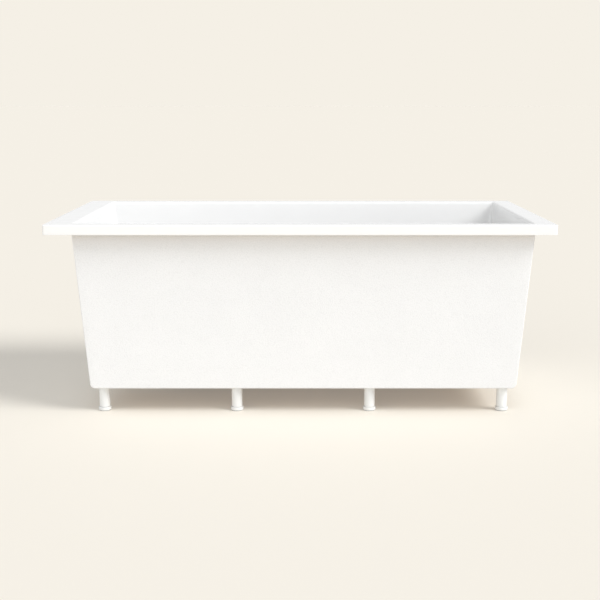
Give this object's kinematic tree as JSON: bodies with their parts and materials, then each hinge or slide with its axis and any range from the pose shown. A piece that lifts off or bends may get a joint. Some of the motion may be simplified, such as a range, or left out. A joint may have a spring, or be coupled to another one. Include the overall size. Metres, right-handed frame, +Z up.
{
  "type": "freestanding bathtub",
  "caption": "Rectangular acrylic bathtub with a wide flat rim and flat tapering sides, on screw-adjusted tube legs, with pop-up waste, overflow and trap.",
  "frame": {"origin": "on the floor, under the middle of the rim", "axes": "+Z up, +X along the tub's long side to the right, the front long side faces -Y"},
  "size_m": [1.5, 0.8, 0.584],
  "materials": {
    "acrylic": "smooth white sanitary acrylic, glossy",
    "laminate": "white sprayed glass-fibre laminate with a fine stipple",
    "chipboard": "raw chipboard with resin",
    "timber": "sawn softwood",
    "leg_plastic": "white satin moulded plastic",
    "foot_rubber": "pale grey rubber",
    "steel": "zinc-plated steel",
    "brass": "turned brass",
    "chrome": "polished chrome plate",
    "seal_rubber": "black moulded rubber",
    "pipe_plastic": "white moulded plastic",
    "outlet_plastic": "grey extruded plastic",
    "hose_plastic": "white flexible plastic",
    "cable_sheath": "black plastic sheath"
  },
  "bodies": {
    "root": {"acrylic_shell": "acrylic", "fibreglass_backing": "laminate", "base_board": "chipboard", "rim_batten_front": "timber", "rim_batten_back": "timber", "leg_tube_front_1": "leg_plastic", "leg_plug_front_1": "leg_plastic", "leg_tube_front_2": "leg_plastic", "leg_plug_front_2": "leg_plastic", "leg_tube_front_3": "leg_plastic", "leg_plug_front_3": "leg_plastic", "leg_tube_front_4": "leg_plastic", "leg_plug_front_4": "leg_plastic", "leg_tube_back_1": "leg_plastic", "leg_plug_back_1": "leg_plastic", "leg_tube_back_2": "leg_plastic", "leg_plug_back_2": "leg_plastic", "leg_tube_back_3": "leg_plastic", "leg_plug_back_3": "leg_plastic", "leg_tube_back_4": "leg_plastic", "leg_plug_back_4": "leg_plastic", "leg_bolts": "steel", "overflow_screws": "steel", "thread_inserts": "brass", "drain_flange": "chrome", "overflow_cover": "chrome", "flange_seal": "seal_rubber", "drain_washer": "seal_rubber", "overflow_gasket": "seal_rubber", "drain_body": "pipe_plastic", "trap_nut": "pipe_plastic", "trap_body": "pipe_plastic", "dip_tube": "pipe_plastic", "outlet_nut": "pipe_plastic", "overflow_body": "pipe_plastic", "hose_nuts": "pipe_plastic", "outlet_pipe": "outlet_plastic", "overflow_hose": "hose_plastic", "control_cable": "cable_sheath"},
    "plug": {"plug_cap": "chrome", "plug_seal": "seal_rubber", "plug_stem": "pipe_plastic"},
    "lever": {"lift_lever": "pipe_plastic"},
    "knob": {"overflow_knob": "chrome"},
    "pad_front_1": {"foot_pad_front_1": "foot_rubber"},
    "foot_front_1": {"levelling_foot_front_1": "leg_plastic"},
    "pad_front_2": {"foot_pad_front_2": "foot_rubber"},
    "foot_front_2": {"levelling_foot_front_2": "leg_plastic"},
    "pad_front_3": {"foot_pad_front_3": "foot_rubber"},
    "foot_front_3": {"levelling_foot_front_3": "leg_plastic"},
    "pad_front_4": {"foot_pad_front_4": "foot_rubber"},
    "foot_front_4": {"levelling_foot_front_4": "leg_plastic"},
    "pad_back_1": {"foot_pad_back_1": "foot_rubber"},
    "foot_back_1": {"levelling_foot_back_1": "leg_plastic"},
    "pad_back_2": {"foot_pad_back_2": "foot_rubber"},
    "foot_back_2": {"levelling_foot_back_2": "leg_plastic"},
    "pad_back_3": {"foot_pad_back_3": "foot_rubber"},
    "foot_back_3": {"levelling_foot_back_3": "leg_plastic"},
    "pad_back_4": {"foot_pad_back_4": "foot_rubber"},
    "foot_back_4": {"levelling_foot_back_4": "leg_plastic"}
  },
  "joints": [
    {"name": "overflow_knob_turn", "type": "hinge", "parent": "root", "child": "knob", "pos_m": [-0.66142, 0, 0.499], "axis": [0.9974, 0, 0.0723], "range_deg": [0, 90]},
    {"name": "plug_lift", "type": "slide", "parent": "root", "child": "plug", "axis": [0, 0, 1], "range_m": [0, 0.01]},
    {"name": "lever_tilt", "type": "hinge", "parent": "root", "child": "lever", "pos_m": [-0.488, 0, 0.063], "axis": [0, -1, 0], "range_deg": [0, 30.5]},
    {"name": "pad_drop_front_1", "type": "slide", "parent": "root", "child": "pad_front_1", "axis": [0, 0, -1], "range_m": [0, 0.02]},
    {"name": "foot_turn_front_1", "type": "hinge", "parent": "pad_front_1", "child": "foot_front_1", "pos_m": [-0.60125, -0.293, 0], "axis": [0, 0, 1], "range_deg": [0, 1801]},
    {"name": "pad_drop_front_2", "type": "slide", "parent": "root", "child": "pad_front_2", "axis": [0, 0, -1], "range_m": [0, 0.02]},
    {"name": "foot_turn_front_2", "type": "hinge", "parent": "pad_front_2", "child": "foot_front_2", "pos_m": [-0.19375, -0.293, 0], "axis": [0, 0, 1], "range_deg": [0, 1801]},
    {"name": "pad_drop_front_3", "type": "slide", "parent": "root", "child": "pad_front_3", "axis": [0, 0, -1], "range_m": [0, 0.02]},
    {"name": "foot_turn_front_3", "type": "hinge", "parent": "pad_front_3", "child": "foot_front_3", "pos_m": [0.21375, -0.293, 0], "axis": [0, 0, 1], "range_deg": [0, 1801]},
    {"name": "pad_drop_front_4", "type": "slide", "parent": "root", "child": "pad_front_4", "axis": [0, 0, -1], "range_m": [0, 0.02]},
    {"name": "foot_turn_front_4", "type": "hinge", "parent": "pad_front_4", "child": "foot_front_4", "pos_m": [0.62125, -0.293, 0], "axis": [0, 0, 1], "range_deg": [0, 1801]},
    {"name": "pad_drop_back_1", "type": "slide", "parent": "root", "child": "pad_back_1", "axis": [0, 0, -1], "range_m": [0, 0.02]},
    {"name": "foot_turn_back_1", "type": "hinge", "parent": "pad_back_1", "child": "foot_back_1", "pos_m": [-0.60125, 0.293, 0], "axis": [0, 0, 1], "range_deg": [0, 1801]},
    {"name": "pad_drop_back_2", "type": "slide", "parent": "root", "child": "pad_back_2", "axis": [0, 0, -1], "range_m": [0, 0.02]},
    {"name": "foot_turn_back_2", "type": "hinge", "parent": "pad_back_2", "child": "foot_back_2", "pos_m": [-0.19375, 0.293, 0], "axis": [0, 0, 1], "range_deg": [0, 1801]},
    {"name": "pad_drop_back_3", "type": "slide", "parent": "root", "child": "pad_back_3", "axis": [0, 0, -1], "range_m": [0, 0.02]},
    {"name": "foot_turn_back_3", "type": "hinge", "parent": "pad_back_3", "child": "foot_back_3", "pos_m": [0.21375, 0.293, 0], "axis": [0, 0, 1], "range_deg": [0, 1801]},
    {"name": "pad_drop_back_4", "type": "slide", "parent": "root", "child": "pad_back_4", "axis": [0, 0, -1], "range_m": [0, 0.02]},
    {"name": "foot_turn_back_4", "type": "hinge", "parent": "pad_back_4", "child": "foot_back_4", "pos_m": [0.62125, 0.293, 0], "axis": [0, 0, 1], "range_deg": [0, 1801]}
  ],
  "couplings": [
    {"joint": "plug_lift", "follows": "overflow_knob_turn", "m_per_rad": 0.0063025},
    {"joint": "lever_tilt", "follows": "overflow_knob_turn", "ratio": 0.33333},
    {"joint": "foot_turn_front_1", "follows": "pad_drop_front_1", "rad_per_m": 1570.8},
    {"joint": "foot_turn_front_2", "follows": "pad_drop_front_2", "rad_per_m": 1570.8},
    {"joint": "foot_turn_front_3", "follows": "pad_drop_front_3", "rad_per_m": 1570.8},
    {"joint": "foot_turn_front_4", "follows": "pad_drop_front_4", "rad_per_m": 1570.8},
    {"joint": "foot_turn_back_1", "follows": "pad_drop_back_1", "rad_per_m": 1570.8},
    {"joint": "foot_turn_back_2", "follows": "pad_drop_back_2", "rad_per_m": 1570.8},
    {"joint": "foot_turn_back_3", "follows": "pad_drop_back_3", "rad_per_m": 1570.8},
    {"joint": "foot_turn_back_4", "follows": "pad_drop_back_4", "rad_per_m": 1570.8}
  ]
}
